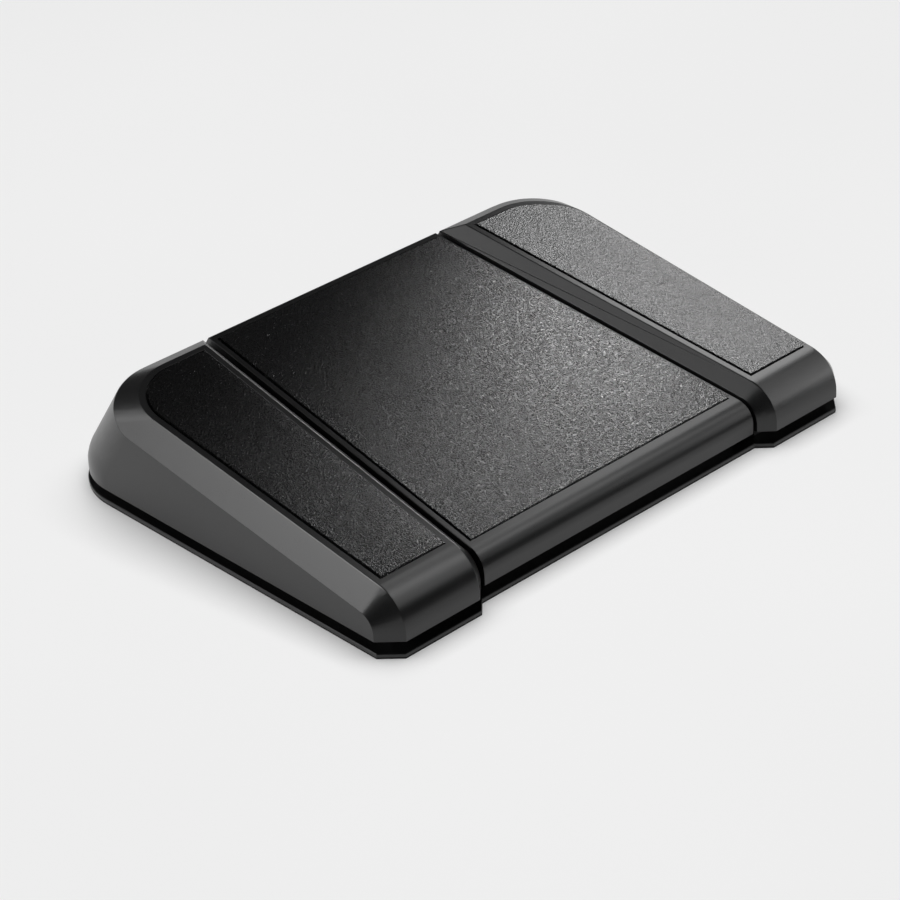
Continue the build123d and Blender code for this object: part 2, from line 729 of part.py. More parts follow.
# ---------------------------------------------------------------- springs and bumpers
for side in ("left", "middle", "right"):
    with BuildPart() as part:
        for x in SPRING_XS[side]:
            z0, z1 = SPRING_Z0 + WIRE_R, SPRING_Z1 - WIRE_R
            with BuildLine(mode=Mode.PRIVATE) as coil:
                Helix(pitch=(z1 - z0) / SPRING_TURNS, height=z1 - z0, radius=SPRING_R,
                      center=(x, SPRING_Y, z0))
            path = coil.line
            with BuildSketch(Plane(origin=path @ 0, z_dir=path % 0)):
                Circle(WIRE_R)
            sweep(path=path, is_frenet=True)
    part.part.label = "springs_" + side
    export_step(part.part, "parts/springs_" + side + ".step")

    with BuildPart() as part:
        for x in STOP_XS[side]:
            with BuildSketch(Plane.XY.offset(FLOOR_Z)):
                with Locations((x, STOP_Y)):
                    Circle(4.6)
            extrude(amount=STOP_TOP - FLOOR_Z)
        fillet(part.edges().filter_by(GeomType.CIRCLE).group_by(Axis.Z)[-1], radius=0.8)
    part.part.label = "bumpers_" + side
    export_step(part.part, "parts/bumpers_" + side + ".step")

# ---------------------------------------------------------------- board and its parts
with BuildPart() as circuit_board:
    with BuildSketch(Plane.XY.offset(BOARD_Z)):
        with Locations((0, (BOARD_Y0 + BOARD_Y1) / 2)):
            Rectangle(206, BOARD_Y1 - BOARD_Y0)
        with Locations((0, 69.0)):
            Rectangle(22.0, 44.0)
        with Locations(*BOARD_SCREWS):
            Circle(1.3, mode=Mode.SUBTRACT)
    extrude(amount=BOARD_T)
circuit_board.part.label = "circuit_board"
export_step(circuit_board.part, "parts/circuit_board.step")

with BuildPart() as controller_chip:
    with BuildSketch(Plane.XY.offset(BOARD_TOP + 0.15)):
        with Locations((28, 26)):
            Rectangle(7, 7)
    extrude(amount=1.1)
    chamfer(controller_chip.faces().sort_by(Axis.Z)[-1].edges(), length=0.2)
    with BuildSketch(Plane.XY.offset(BOARD_TOP)):
        for k in range(8):
            o = -2.8 + 0.8 * k
            with Locations((28 - 3.9, 26 + o), (28 + 3.9, 26 + o)):
                Rectangle(1.0, 0.36)
            with Locations((28 + o, 26 - 3.9), (28 + o, 26 + 3.9)):
                Rectangle(0.36, 1.0)
    extrude(amount=0.5)
controller_chip.part.label = "controller_chip"
export_step(controller_chip.part, "parts/controller_chip.step")

with BuildPart() as board_parts:
    for x, y, w, d, h in (
        (19, 26, 1.6, 0.8, 0.6), (19, 29, 1.6, 0.8, 0.6), (19, 23, 1.6, 0.8, 0.6),
        (37, 22, 1.6, 0.8, 0.6), (37, 25, 1.6, 0.8, 0.6), (37, 30, 2.0, 1.25, 0.9),
        (28, 34, 3.2, 2.5, 0.8), (6, 58, 2.9, 1.3, 1.1), (-6, 58, 2.0, 1.25, 0.9),
        (6, 70, 1.6, 0.8, 0.6), (-6, 70, 1.6, 0.8, 0.6), (-30, 22, 3.2, 1.6, 1.2),
        (-40, 32, 2.0, 1.25, 0.9), (-76, 34, 2.0, 1.25, 0.9), (76, 34, 2.0, 1.25, 0.9),
        (14, 34, 2.0, 1.25, 0.9),
    ):
        with BuildSketch(Plane.XY.offset(BOARD_TOP)):
            with Locations((x, y)):
                Rectangle(w, d)
        extrude(amount=h)
board_parts.part.label = "board_parts"
export_step(board_parts.part, "parts/board_parts.step")

USB_Z = BOARD_TOP + 1.6
with BuildPart() as usb_shell:
    with BuildSketch(Plane.XZ.offset(-94.3)):
        with Locations((0, USB_Z)):
            SlotOverall(9.0, 3.2)
            SlotOverall(8.4, 2.6, mode=Mode.SUBTRACT)
    extrude(amount=7.4)
    with BuildSketch(Plane.XZ.offset(-(94.3 - 7.4))):
        with Locations((0, USB_Z)):
            SlotOverall(9.0, 3.2)
    extrude(amount=0.4)
usb_shell.part.label = "usb_shell"
export_step(usb_shell.part, "parts/usb_shell.step")
with BuildPart() as usb_tongue:
    with BuildSketch(Plane.XZ.offset(-(94.3 - 7.4))):
        with Locations((0, USB_Z)):
            Rectangle(6.7, 0.7)
    extrude(amount=-6.2)
    with BuildSketch(Plane.XZ.offset(-(94.3 - 7.4))):
        with Locations((0, USB_Z)):
            SlotOverall(8.2, 2.4)
    extrude(amount=-1.2)
usb_tongue.part.label = "usb_tongue"
export_step(usb_tongue.part, "parts/usb_tongue.step")

# ---------------------------------------------------------------- switches
for side in ("left", "middle", "right"):
    x = SWITCH_XS[side]
    top = BOARD_TOP + SWITCH_H
    with BuildPart() as part:
        with BuildSketch(Plane.XY.offset(BOARD_TOP)):
            with Locations((x, SWITCH_Y)):
                Rectangle(12.8, 6.0)
        extrude(amount=SWITCH_H)
        chamfer(part.edges().filter_by(Axis.Z), length=0.5)
        with BuildSketch(Plane.XY.offset(top)):
            with Locations((x, SWITCH_Y)):
                Circle(1.56)
        extrude(amount=-3.6, mode=Mode.SUBTRACT)
        with BuildSketch(Plane.XZ.offset(-(SWITCH_Y - 3.2))):
            with Locations((x - 3.25, BOARD_TOP + 1.8), (x + 3.25, BOARD_TOP + 1.8)):
                Circle(1.0)
        extrude(amount=-6.4, mode=Mode.SUBTRACT)
    part.part.label = "switch_" + side
    export_step(part.part, "parts/switch_" + side + ".step")
    with BuildPart() as part:
        with BuildSketch(Plane.XY.offset(PLUNGER_TOP - 3.2)):
            with Locations((x, SWITCH_Y)):
                Circle(1.5)
        extrude(amount=3.2)
        fillet(part.edges().filter_by(GeomType.CIRCLE).sort_by(Axis.Z)[-1], radius=0.5)
    part.part.label = "plunger_" + side
    export_step(part.part, "parts/plunger_" + side + ".step")

# ---------------------------------------------------------------- screws
with BuildPart() as base_screws:
    for x, y in SCREW_XY:
        length = 5.0 if y < 8 else 2.6
        with BuildSketch(Plane.XY.offset(MAT_Z + 0.05)):
            with Locations((x, y)):
                Circle(2.75)
        with BuildSketch(Plane.XY.offset(MAT_Z + 1.3)):
            with Locations((x, y)):
                Circle(1.5)
        loft()
        with BuildSketch(Plane.XY.offset(MAT_Z + 1.0)):
            with Locations((x, y)):
                Circle(1.5)
        extrude(amount=PLATE_T - 1.0 + length - 0.2)
        with BuildSketch(Plane.XY.offset(MAT_Z)):
            with Locations((x, y)):
                RegularPolygon(1.15, 6)
        extrude(amount=1.2, mode=Mode.SUBTRACT)
base_screws.part.label = "base_screws"
export_step(base_screws.part, "parts/base_screws.step")

with BuildPart() as board_screws:
    for x, y in BOARD_SCREWS:
        with BuildSketch(Plane.XY.offset(BOARD_TOP)):
            with Locations((x, y)):
                Circle(2.1)
        extrude(amount=1.3)
        with BuildSketch(Plane.XY.offset(PLATE_Z + 0.1)):
            with Locations((x, y)):
                Circle(1.0)
        extrude(amount=BOARD_TOP - PLATE_Z)
        with BuildSketch(Plane.XY.offset(BOARD_TOP + 0.6)):
            with Locations((x, y)):
                Rectangle(2.6, 0.5)
                Rectangle(0.5, 2.6)
        extrude(amount=1.0, mode=Mode.SUBTRACT)
board_screws.part.label = "board_screws"
export_step(board_screws.part, "parts/board_screws.step")
print("done")
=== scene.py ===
import json
import math

import bmesh
import bpy
from mathutils import Matrix, Vector


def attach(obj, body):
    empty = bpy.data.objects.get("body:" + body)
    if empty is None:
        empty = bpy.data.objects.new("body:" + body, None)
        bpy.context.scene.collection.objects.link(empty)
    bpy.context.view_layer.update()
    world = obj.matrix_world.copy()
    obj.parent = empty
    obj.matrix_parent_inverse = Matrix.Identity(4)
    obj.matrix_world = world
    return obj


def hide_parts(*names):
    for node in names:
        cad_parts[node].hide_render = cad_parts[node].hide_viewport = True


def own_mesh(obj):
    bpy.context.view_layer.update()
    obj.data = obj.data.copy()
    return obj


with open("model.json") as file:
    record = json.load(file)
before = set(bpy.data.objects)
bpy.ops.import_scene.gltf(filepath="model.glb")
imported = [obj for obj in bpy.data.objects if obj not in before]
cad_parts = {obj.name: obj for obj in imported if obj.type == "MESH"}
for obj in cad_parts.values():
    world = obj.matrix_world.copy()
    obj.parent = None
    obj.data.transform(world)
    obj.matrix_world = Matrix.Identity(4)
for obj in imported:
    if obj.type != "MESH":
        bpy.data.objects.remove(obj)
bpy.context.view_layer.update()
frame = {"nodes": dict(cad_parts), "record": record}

scene = bpy.context.scene
coll = scene.collection
SIDES = ("left", "middle", "right")

# ---------------------------------------------------------------- camera
PHI, EL, ROLL = math.radians(42.213), math.radians(30.489), math.radians(-2.891)
TARGET = Vector((0.0, -0.0047, 0.025))
DIST, SHIFT_X, SHIFT_Y = 1.10082, -0.003855, -0.02388
back = Vector((-math.sin(PHI) * math.cos(EL), -math.cos(PHI) * math.cos(EL), math.sin(EL)))
right = Vector((math.cos(PHI), -math.sin(PHI), 0.0))
up = back.cross(right)
cam_x = right * math.cos(ROLL) + up * math.sin(ROLL)
cam_y = up * math.cos(ROLL) - right * math.sin(ROLL)
cam_pos = TARGET + back * DIST + cam_x * SHIFT_X + cam_y * SHIFT_Y
cam_data = bpy.data.cameras.new("camera")
cam = bpy.data.objects.new("camera", cam_data)
coll.objects.link(cam)
cam.matrix_world = Matrix((
    (cam_x.x, cam_y.x, back.x, cam_pos.x),
    (cam_x.y, cam_y.y, back.y, cam_pos.y),
    (cam_x.z, cam_y.z, back.z, cam_pos.z),
    (0, 0, 0, 1),
))
cam_data.sensor_fit = "HORIZONTAL"
cam_data.sensor_width = 36.0
cam_data.lens = 2904.455 * 36.0 / 900.0
cam_data.clip_start = 0.01
cam_data.clip_end = 50.0
scene.camera = cam

scene.view_settings.view_transform = "Standard"
scene.view_settings.look = "None"
scene.view_settings.exposure = 0.0
scene.view_settings.gamma = 1.0


# ---------------------------------------------------------------- material helpers
class Nodes:
    """short way to write a node tree"""

    def __init__(self, name):
        self.mat = bpy.data.materials.new(name)
        self.mat.use_nodes = True
        self.tree = self.mat.node_tree
        self.tree.nodes.clear()
        self.out = self.add("ShaderNodeOutputMaterial")
        self.bsdf = self.add("ShaderNodeBsdfPrincipled")
        self.link(self.bsdf.outputs["BSDF"], self.out.inputs["Surface"])
        self.coord = self.add("ShaderNodeTexCoord").outputs["Object"]

    def add(self, kind, **props):
        node = self.tree.nodes.new(kind)
        for key, value in props.items():
            setattr(node, key, value)
        return node

    def link(self, a, b):
        self.tree.links.new(a, b)

    def set(self, **values):
        for key, value in values.items():
            self.bsdf.inputs[key.replace("_", " ")].default_value = value

    def noise(self, scale, detail=2.0, rough=0.5, vector=None, distortion=0.0):
        n = self.add("ShaderNodeTexNoise")
        n.inputs["Scale"].default_value = scale
        n.inputs["Detail"].default_value = detail
        n.inputs["Roughness"].default_value = rough
        n.inputs["Distortion"].default_value = distortion
        self.link(vector or self.coord, n.inputs["Vector"])
        return n.outputs["Fac"]

    def voronoi(self, scale, feature="F1", vector=None, rand=1.0):
        n = self.add("ShaderNodeTexVoronoi", feature=feature)
        n.inputs["Scale"].default_value = scale
        n.inputs["Randomness"].default_value = rand
        self.link(vector or self.coord, n.inputs["Vector"])
        return n.outputs["Distance"]

    def ramp(self, fac, stops):
        n = self.add("ShaderNodeValToRGB")
        e = n.color_ramp.elements
        while len(e) < len(stops):
            e.new(0.5)
        for item, (pos, col) in zip(e, stops):
            item.position = pos
            item.color = col if len(col) == 4 else (*col, 1.0)
        self.link(fac, n.inputs["Fac"])
        return n.outputs["Color"]

    def remap(self, fac, lo, hi, a=0.0, b=1.0, smooth=False):
        n = self.add("ShaderNodeMapRange")
        if smooth:
            n.interpolation_type = "SMOOTHSTEP"
        n.inputs["From Min"].default_value = lo
        n.inputs["From Max"].default_value = hi
        n.inputs["To Min"].default_value = a
        n.inputs["To Max"].default_value = b
        self.link(fac, n.inputs["Value"])
        return n.outputs["Result"]

    def math(self, op, a, b=None, c=None):
        n = self.add("ShaderNodeMath", operation=op)
        for i, v in enumerate((a, b, c)):
            if v is None:
                continue
            if isinstance(v, (int, float)):
                n.inputs[i].default_value = v
            else:
                self.link(v, n.inputs[i])
        return n.outputs[0]

    def mix(self, fac, a, b):
        n = self.add("ShaderNodeMix", data_type="RGBA")
        for sock, v in ((n.inputs["Factor"], fac), (n.inputs[6], a), (n.inputs[7], b)):
            if isinstance(v, (int, float)):
                sock.default_value = v
            elif isinstance(v, tuple):
                sock.default_value = v if len(v) == 4 else (*v, 1.0)
            else:
                self.link(v, sock)
        return n.outputs[2]

    def bump(self, height, distance, strength=1.0, normal=None):
        n = self.add("ShaderNodeBump")
        n.inputs["Strength"].default_value = strength
        n.inputs["Distance"].default_value = distance
        self.link(height, n.inputs["Height"])
        if normal is not None:
            self.link(normal, n.inputs["Normal"])
        return n.outputs["Normal"]

    def to(self, socket, name):
        self.link(socket, self.bsdf.inputs[name])


def grey(v):
    return (v, v, v * 1.03, 1.0)


def mat_shell():
    """satin black moulding with a fine spark-eroded grain"""
    m = Nodes("shell_plastic")
    cloud = m.noise(60.0, 3.0)
    fine = m.noise(5200.0, 2.0, 0.6)
    col = m.mix(m.remap(cloud, 0.35, 0.65), grey(0.007), grey(0.009))
    m.to(col, "Base Color")
    m.to(m.math("ADD", m.remap(cloud, 0.3, 0.7, 0.29, 0.32), m.remap(fine, 0.3, 0.7, -0.03, 0.03)), "Roughness")
    m.to(m.bump(fine, 0.00002, 0.35), "Normal")
    m.set(Specular_IOR_Level=0.5)
    return m.mat


def mat_pad():
    """leather-grain moulding: small irregular pebbles with fine creases between them"""
    m = Nodes("pad_grain")
    warp = m.add("ShaderNodeTexNoise")
    warp.inputs["Scale"].default_value = 680.0
    warp.inputs["Detail"].default_value = 2.0
    m.link(m.coord, warp.inputs["Vector"])
    sub = m.add("ShaderNodeVectorMath", operation="SUBTRACT")
    m.link(warp.outputs["Color"], sub.inputs[0])
    sub.inputs[1].default_value = (0.5, 0.5, 0.5)
    scl = m.add("ShaderNodeVectorMath", operation="SCALE")
    scl.inputs["Scale"].default_value = 0.0005
    m.link(sub.outputs[0], scl.inputs[0])
    add = m.add("ShaderNodeVectorMath", operation="ADD")
    m.link(m.coord, add.inputs[0])
    m.link(scl.outputs[0], add.inputs[1])
    pebble = m.voronoi(1350.0, "SMOOTH_F1", add.outputs[0])
    crease = m.voronoi(1350.0, "DISTANCE_TO_EDGE", add.outputs[0])
    valley = m.remap(crease, 0.0, 0.35, 0.0, 1.0, smooth=True)
    height = m.math("SUBTRACT", m.math("MULTIPLY", valley, 0.35), m.math("MULTIPLY", pebble, 0.6))
    rough = m.noise(1500.0, 1.5, 0.5)
    height = m.math("ADD", height, m.math("MULTIPLY", rough, 1.5))
    broad = m.noise(500.0, 2.0)
    height = m.math("ADD", height, m.math("MULTIPLY", broad, 0.15))
    m.to(m.bump(height, 0.00033, 0.9), "Normal")
    # base colour is darker in the creases than on the pebbles: painted shade in the creases
    col = m.mix(valley, grey(0.003), grey(0.008))
    m.to(col, "Base Color")
    m.to(m.remap(height, 0.2, 1.3, 0.34, 0.22), "Roughness")
    m.set(Specular_IOR_Level=0.5)
    return m.mat


def mat_plate():
    """black coated steel sheet, its side faces painted lighter than its top: a painted sheen on the edge"""
    m = Nodes("plate_coat")
    geo = m.add("ShaderNodeNewGeometry")
    sep = m.add("ShaderNodeSeparateXYZ")
    m.link(geo.outputs["Normal"], sep.inputs[0])
    side = m.math("SUBTRACT", 1.0, m.math("ABSOLUTE", sep.outputs["Z"]))
    fine = m.noise(1800.0, 3.0, 0.6)
    # faces that turn to the side get a lighter base colour than the top: painted sheen on the edge
    m.to(m.mix(m.remap(side, 0.6, 0.9), grey(0.010), grey(0.020)), "Base Color")
    m.to(m.remap(fine, 0.3, 0.7, 0.28, 0.36), "Roughness")
    m.to(m.bump(fine, 0.00004, 0.5), "Normal")
    m.set(Specular_IOR_Level=0.5)
    return m.mat


def mat_rubber(name, value=0.006):
    m = Nodes(name)
    fine = m.noise(1500.0, 4.0, 0.65)
    cells = m.voronoi(900.0)
    m.to(m.mix(m.remap(fine, 0.3, 0.7), grey(value * 0.7), grey(value * 1.4)), "Base Color")
    m.to(m.remap(fine, 0.3, 0.7, 0.75, 0.9), "Roughness")
    m.to(m.bump(m.math("ADD", fine, m.math("MULTIPLY", cells, 0.5)), 0.0001, 0.6), "Normal")
    m.set(Specular_IOR_Level=0.3)
    return m.mat


def mat_moulded(name, color, rough=0.5, grain=1600.0, spread=0.25, depth=0.00003):
    """plain technical moulding with faint flow variation"""
    m = Nodes(name)
    flow = m.noise(90.0, 3.0, 0.55, distortion=0.6)
    fine = m.noise(grain, 2.0, 0.6)
    lo = tuple(c * (1 - spread) for c in color)
    hi = tuple(min(1.0, c * (1 + spread)) for c in color)
    m.to(m.mix(m.remap(flow, 0.3, 0.7), lo, hi), "Base Color")
    m.to(m.math("ADD", m.remap(flow, 0.3, 0.7, rough - 0.04, rough + 0.04), m.remap(fine, 0.3, 0.7, -0.03, 0.03)), "Roughness")
    m.to(m.bump(fine, depth, 0.5), "Normal")
    return m.mat


def mat_steel(name, color, rough=0.3, stretch=(1.0, 40.0, 40.0), scale=120.0):
    """ground or drawn steel: fine lines and slight tarnish"""
    m = Nodes(name)
    mapping = m.add("ShaderNodeMapping")
    mapping.inputs["Scale"].default_value = stretch
    m.link(m.coord, mapping.inputs["Vector"])
    lines = m.noise(scale, 3.0, 0.6, mapping.outputs[0])
    tarnish = m.noise(150.0, 3.0)
    lo = tuple(c * 0.72 for c in color)
    m.to(m.mix(m.remap(tarnish, 0.35, 0.7), color, lo), "Base Color")
    m.to(m.remap(lines, 0.3, 0.7, rough - 0.07, rough + 0.1), "Roughness")
    m.to(m.bump(lines, 0.00002, 0.4), "Normal")
    m.set(Metallic=1.0)
    return m.mat


def mat_board():
    """green solder mask with tracks under it"""
    m = Nodes("board_mask")
    sep = m.add("ShaderNodeSeparateXYZ")
    m.link(m.coord, sep.inputs[0])
    lanes = m.math("PINGPONG", m.math("ADD", sep.outputs["Y"], m.math("MULTIPLY", m.noise(45.0, 0.0), 0.012)), 0.0011)
    track = m.remap(lanes, 0.00045, 0.0006, 0.0, 1.0)
    zone = m.remap(m.noise(28.0, 1.0), 0.47, 0.5)
    on = m.math("MULTIPLY", track, zone)
    mask = m.mix(on, (0.004, 0.05, 0.022), (0.012, 0.11, 0.05))
    m.to(mask, "Base Color")
    m.to(m.remap(on, 0.0, 1.0, 0.34, 0.26), "Roughness")
    m.to(m.bump(on, 0.00004, 0.5), "Normal")
    m.set(Coat_Weight=0.3, Coat_Roughness=0.15)
    return m.mat


M = {
    "shell": mat_shell(),
    "pad": mat_pad(),
    "plate": mat_plate(),
    "mat": mat_rubber("mat_rubber"),
    "bumper": mat_rubber("bumper_rubber", 0.009),
    "chassis": mat_moulded("chassis_plastic", (0.012, 0.012, 0.0125), 0.55),
    "pin": mat_steel("pin_steel", (0.56, 0.56, 0.57), 0.22, (40.0, 1.0, 1.0)),
    "spring": mat_steel("spring_steel", (0.5, 0.5, 0.51), 0.28, (1.0, 1.0, 8.0)),
    "zinc": mat_steel("zinc_screw", (0.50, 0.50, 0.53), 0.34, (8.0, 8.0, 1.0)),
    "acetal": mat_moulded("natural_acetal", (0.68, 0.66, 0.6), 0.4, spread=0.06),
    "board": mat_board(),
    "chip": mat_moulded("chip_resin", (0.012, 0.012, 0.013), 0.45, 3000.0),
    "ceramic": mat_moulded("part_ceramic", (0.36, 0.27, 0.18), 0.4, spread=0.3),
    "usb": mat_steel("socket_steel", (0.58, 0.58, 0.58), 0.24, (1.0, 30.0, 1.0)),
    "switch": mat_moulded("switch_case", (0.016, 0.016, 0.017), 0.42),
    "plunger": mat_moulded("plunger_red", (0.5, 0.05, 0.035), 0.38, spread=0.1),
}


def paint(obj, mat):
    obj.data.materials.clear()
    obj.data.materials.append(mat)


LOOK = {"rubber_mat": "mat", "base_plate": "plate", "base_screws": "zinc", "chassis": "chassis",
        "circuit_board": "board", "controller_chip": "chip", "board_parts": "ceramic", "board_screws": "zinc",
        "usb_shell": "usb", "usb_tongue": "chip"}
for s in SIDES:
    LOOK.update({"hinge_pin_" + s: "pin", "springs_" + s: "spring", "bumpers_" + s: "bumper",
                 "switch_" + s: "switch", "plunger_" + s: "plunger", "pedal_" + s: "shell",
                 "pad_" + s: "pad", "bushings_" + s: "acetal", "striker_" + s: "acetal"})
for node, look in LOOK.items():
    paint(frame["nodes"][node], M[look])


# ---------------------------------------------------------------- rounded mouldings
def clean_copy(node, name, dissolve=0.4):
    """a welded copy of the CAD node's surface, flat regions as single faces"""
    me = frame["nodes"][node].data.copy()
    me.name = name
    bm = bmesh.new()
    bm.from_mesh(me)
    bmesh.ops.remove_doubles(bm, verts=bm.verts, dist=2e-6)
    bmesh.ops.dissolve_limit(bm, angle_limit=math.radians(dissolve), verts=bm.verts, edges=bm.edges)
    bm.normal_update()
    return me, bm


def turn_of(e):
    """angle between an edge's two faces"""
    if len(e.link_faces) != 2:
        return math.pi
    return e.link_faces[0].normal.angle(e.link_faces[1].normal, 0.0)


def shade(bm):
    """flat faces stay flat, curved runs of faces are smooth"""
    for f in bm.faces:
        soft = sum(e.calc_length() for e in f.edges if turn_of(e) < math.radians(12.0))
        f.smooth = soft > 0.08 * f.calc_perimeter()


BROAD = 6e-4


def settle(obj):
    """writes the soft edges into the mesh and gives every broad flat face one single normal"""
    bpy.context.view_layer.update()
    graph = bpy.context.evaluated_depsgraph_get()
    me = bpy.data.meshes.new_from_object(obj.evaluated_get(graph), preserve_all_data_layers=True, depsgraph=graph)
    obj.modifiers.clear()
    obj.data = me
    near = {}
    flats = [(p.normal.copy(), p.center.copy()) for p in me.polygons if p.area > BROAD]
    for p in me.polygons:
        if p.area > BROAD:
            for v in p.vertices:
                near.setdefault(v, []).append(p.normal.copy())
    normals = [c.vector.copy() for c in me.corner_normals]
    for p in me.polygons:
        for i in p.loop_indices:
            if p.area > BROAD:
                normals[i] = p.normal.copy()
                continue
            inside = [n for n, c in flats if all(abs((me.vertices[v].co - c).dot(n)) < 2e-5 for v in p.vertices)]
            if inside:
                normals[i] = inside[0]
                continue
            close = [n for n in near.get(me.loops[i].vertex_index, []) if n.angle(p.normal) < math.radians(17.0)]
            if close:
                normals[i] = min(close, key=lambda n: n.angle(p.normal))
    for p in me.polygons:
        p.use_smooth = True
    me.normals_split_custom_set([tuple(n) for n in normals])


def as_piece(me, bm, name, body, mat, node, width, segments=3):
    """writes the edited mesh, adds soft edges by their weights and puts the piece on its body"""
    shade(bm)
    bm.to_mesh(me)
    bm.free()
    obj = bpy.data.objects.new(name, me)
    coll.objects.link(obj)
    if width:
        bev = obj.modifiers.new("edges", "BEVEL")
        bev.width = width
        bev.segments = segments
        bev.limit_method = "WEIGHT"
        bev.use_clamp_overlap = False
        bev.miter_outer = "MITER_ARC"
    wn = obj.modifiers.new("normals", "WEIGHTED_NORMAL")
    wn.mode = "FACE_AREA"
    wn.weight = 80
    wn.keep_sharp = True
    settle(obj)
    paint(obj, mat)
    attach(obj, body)
    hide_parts(node)
    return obj


EDGE = 0.0004


def shell(s):
    """pedal shell: crisp recess edge round the pad, slightly softened outer edges"""
    node = "pedal_" + s
    me, bm = clean_copy(node, "shell_" + s)
    pad_co = [v.co for v in frame["nodes"]["pad_" + s].data.vertices]
    mid = Vector(((min(c.x for c in pad_co) + max(c.x for c in pad_co)) / 2,
                  (min(c.y for c in pad_co) + max(c.y for c in pad_co)) / 2, 0.0))
    weight = bm.edges.layers.float.new("bevel_weight_edge")
    for e in bm.edges:
        if len(e.link_faces) != 2:
            continue
        a, b = e.link_faces
        turn = a.normal.angle(b.normal, 0.0)
        if turn > math.radians(35.0):
            e.smooth = False
        if turn < math.radians(14.0) or not e.is_convex:
            continue
        centre = (e.verts[0].co + e.verts[1].co) / 2
        top, wall = (a, b) if a.normal.z > b.normal.z else (b, a)
        value = 0.0001 / EDGE
        if top.normal.z > 0.9:
            value = 0.00022 / EDGE
            if abs(wall.normal.z) < 0.75:
                inward = wall.normal.x * (mid.x - centre.x) + wall.normal.y * (mid.y - centre.y)
                value = 0.0001 / EDGE if inward > 0 else 1.0
        e[weight] = value
    return as_piece(me, bm, "shell_" + s, node, M["shell"], node, EDGE, 3)


# on its right the pad has no groove: the moulding laps over the frame and falls away to the edge
LAP = {"left": 0.0007, "middle": 0.0024, "right": 0.0028}


def pad(s, roll=0.006, drop=0.00043):
    """pad moulding with its right side drawn out over the frame and sinking down to it"""
    node = "pad_" + s
    me, bm = clean_copy(node, "grain_" + s)
    top = max(bm.faces, key=lambda f: f.calc_area() * max(0.0, f.normal.z))
    n, d = top.normal.copy(), top.normal.dot(top.verts[0].co)
    cx = top.calc_center_median().x
    side = max((e for e in top.edges if (e.verts[0].co + e.verts[1].co).x / 2 > cx),
               key=lambda e: abs(e.verts[0].co.y - e.verts[1].co.y))
    p0 = side.verts[0].co.copy()
    run = side.verts[1].co - side.verts[0].co
    out = Vector((run.y, -run.x, 0.0)).normalized()
    if out.x < 0:
        out = -out
    for i in range(1, 13):
        bmesh.ops.bisect_plane(bm, geom=bm.verts[:] + bm.edges[:] + bm.faces[:], dist=1e-6,
                               plane_co=p0 - out * (roll * i / 12.0), plane_no=out)
    for v in bm.verts:
        t = min(1.0, ((v.co - p0).dot(out) + roll) / roll)
        if t <= 0.0:
            continue
        high = n.dot(v.co) - d > -0.0004
        v.co += out * (LAP[s] * t)
        if high:
            v.co.z -= drop * t * t
    bm.normal_update()
    for e in bm.edges:
        if len(e.link_faces) == 2 and e.link_faces[0].normal.angle(e.link_faces[1].normal, 0.0) > math.radians(50.0):
            e.smooth = False
    return as_piece(me, bm, "grain_" + s, "pedal_" + s, M["pad"], node, 0.0, 1)


pieces = {}
for s in SIDES:
    pieces["pedal_" + s] = shell(s)
    pieces["pad_" + s] = pad(s)

# each coil spring gets its own copy of its mesh
for s in SIDES:
    coil = frame["nodes"]["springs_" + s]
    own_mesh(coil)

# ---------------------------------------------------------------- floor, light
floor_mat = Nodes("studio_floor")
fine = floor_mat.noise(3.0, 2.0)
floor_mat.to(floor_mat.mix(floor_mat.remap(fine, 0.3, 0.7), (0.86, 0.86, 0.86), (0.88, 0.88, 0.88)), "Base Color")
floor_mat.set(Roughness=0.9, Specular_IOR_Level=0.1)
me = bpy.data.meshes.new("floor")
me.from_pydata([(-6, -6, 0), (6, -6, 0), (6, 6, 0), (-6, 6, 0)], [], [(0, 1, 2, 3)])
floor = bpy.data.objects.new("floor", me)
coll.objects.link(floor)
paint(floor, floor_mat.mat)


def area(name, pos, aim, size, power, color=(1, 1, 1), glossy=True, spread=180.0):
    data = bpy.data.lights.new(name, "AREA")
    data.shape = "RECTANGLE"
    data.size, data.size_y = size
    data.energy = power
    data.color = color
    data.spread = math.radians(spread)
    obj = bpy.data.objects.new(name, data)
    coll.objects.link(obj)
    z = (Vector(pos) - Vector(aim)).normalized()
    x = Vector((0, 0, 1)).cross(z)
    if x.length < 1e-3:
        x = Vector((1, 0, 0))
    x.normalize()
    y = z.cross(x)
    obj.matrix_world = Matrix((
        (x.x, y.x, z.x, pos[0]), (x.y, y.y, z.y, pos[1]), (x.z, y.z, z.z, pos[2]), (0, 0, 0, 1)))
    obj.visible_glossy = glossy
    obj.visible_camera = False
    return obj


# The three pedals share one surface direction, yet each has its own tone, so every light
# here is kept to one group of pieces: the shells, the pads, the base or the floor.
GROUPS = ["floor", "base"] + [k + "_" + s for s in SIDES for k in ("shell", "pad")]
lit = {g: bpy.data.collections.new("lit_" + g) for g in GROUPS}
lit["floor"].objects.link(floor)
for body, nodes in frame["record"]["behaviour"]["bodies"].items():
    for node in nodes:
        group = "base" if body == "base" else "shell_" + body.split("_")[1]
        if node.startswith("pad_"):
            group = node
        lit[group].objects.link(pieces.get(node, frame["nodes"][node]))

AIM = Vector((0.0, -0.02, 0.02))


def ray(az, el):
    """direction at an azimuth from +Y towards +X and an elevation, in degrees"""
    a, e = math.radians(az), math.radians(el)
    return Vector((math.sin(a) * math.cos(e), math.cos(a) * math.cos(e), math.sin(e)))


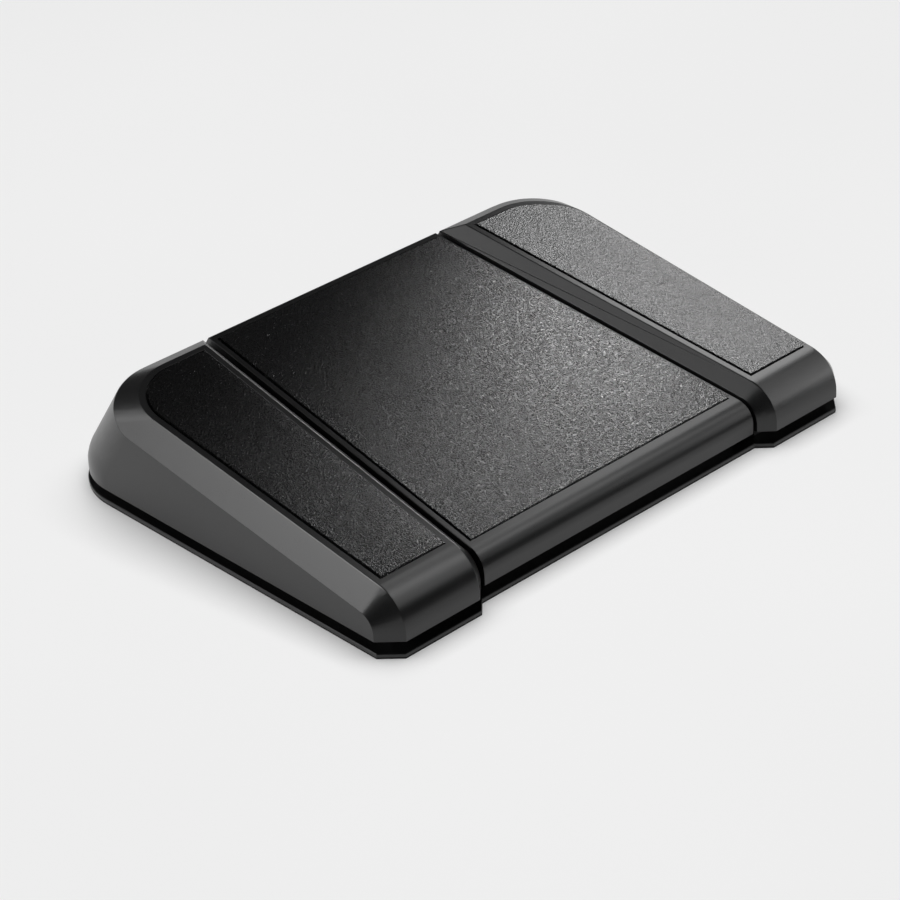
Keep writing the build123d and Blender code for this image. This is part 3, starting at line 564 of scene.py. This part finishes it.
# azimuth, elevation, watts, distance, size
SOFTBOXES = {
    "base": ((300, 28, 1.2), (285, 8, 1.6, 1.0, 0.3), (315, 8, 1.6, 1.0, 0.3), (120, 8, 2.3, 1.0, 0.3),),
    "pad_left": ((130, 20, 3.9, 0.5, 0.2),),
    "pad_middle": ((120, 8, 7.01, 1.0, 0.3), (130, 20, 4.6, 0.5, 0.2),),
    "pad_right": ((60, 8, 0.579, 1.0, 0.3), (130, 60, 6.6, 0.5, 0.2), (70, 20, 0.194, 0.5, 0.2),),
    "shell_left": ((300, 28, 1.04), (300, 50, 4.53), (330, 28, 1.55), (130, 60, 0.472, 0.5, 0.2),
        (150, 40, 0.241, 0.5, 0.2), (70, 60, 0.296, 0.5, 0.2), (60, 8, 3.0, 1.0, 0.3),),
    "shell_middle": ((120, 28, 0.19), (120, 50, 0.667), (110, 40, 0.0619, 0.5, 0.2), (110, 60, 0.16, 0.5, 0.2),
        (130, 20, 0.171, 0.5, 0.2), (130, 60, 0.066, 0.5, 0.2), (150, 40, 0.0732, 0.5, 0.2),
        (70, 40, 0.357, 0.5, 0.2), (70, 60, 0.204, 0.5, 0.2), (320, 36, 1.2), (0, 14, 3.0),),
    "shell_right": ((120, 28, 0.518), (120, 8, 2.32, 1.0, 0.3), (270, 50, 0.729), (300, 28, 3.35),
        (300, 50, 0.411), (288, 8, 4.5, 1.0, 0.3), (312, 8, 3.0, 1.0, 0.3), (110, 40, 0.179, 0.5, 0.2),
        (130, 20, 0.14, 0.5, 0.2), (70, 40, 0.661, 0.5, 0.2), (320, 36, 1.0),),
}

# small lights over the pads: point they face (x, y), watts, distance, size, spread
POOLS = {
    "pad_left": ((0.05, -0.04, 0.062, 0.2, 0.08, 45), (0.02, -0.05, 0.0117, 0.2, 0.08, 45),
        (0.075, -0.02, 0.00611, 0.2, 0.08, 45), (-0.085, -0.055, 0.0051, 0.2, 0.08, 45),
        (-0.07, -0.07, 0.00643, 0.2, 0.08, 80),),
    "pad_middle": ((0.05, 0.03, 0.000952, 0.2, 0.08, 45), (0.05, 0, 0.00619, 0.2, 0.08, 45),
        (0.075, -0.02, 0.063, 0.2, 0.08, 45), (-0.07, -0.07, 0.0105, 0.2, 0.08, 45),),
    "pad_right": ((0.09, 0, 0.43, 0.22, 0.1, 180),),
}

for group, rows in SOFTBOXES.items():
    for i, row in enumerate(rows):
        az, el, power, dist, size = row if len(row) == 5 else (*row, 1.0, 0.36)
        box = area("%s_box_%d" % (group, i), tuple(AIM + ray(az, el) * dist), tuple(AIM), (size, size), power)
        box.light_linking.receiver_collection = lit[group]
for group, rows in POOLS.items():
    for i, (x, y, power, dist, size, spread) in enumerate(rows):
        point = Vector((x, y, 0.03))
        box = area("%s_pool_%d" % (group, i), tuple(point + ray(52, 42) * dist), tuple(point), (size, size), power,
                   spread=float(spread))
        box.light_linking.receiver_collection = lit[group]
over = area("overhead_floor", (0.0, 0.0, 3.0), (0, 0, 0), (4.0, 4.0), 136.0, glossy=False)
over.light_linking.receiver_collection = lit["floor"]

world = bpy.data.worlds.new("studio")
world.use_nodes = True
world.node_tree.nodes["Background"].inputs["Color"].default_value = (1, 1, 1, 1)
world.node_tree.nodes["Background"].inputs["Strength"].default_value = 0.03
scene.world = world
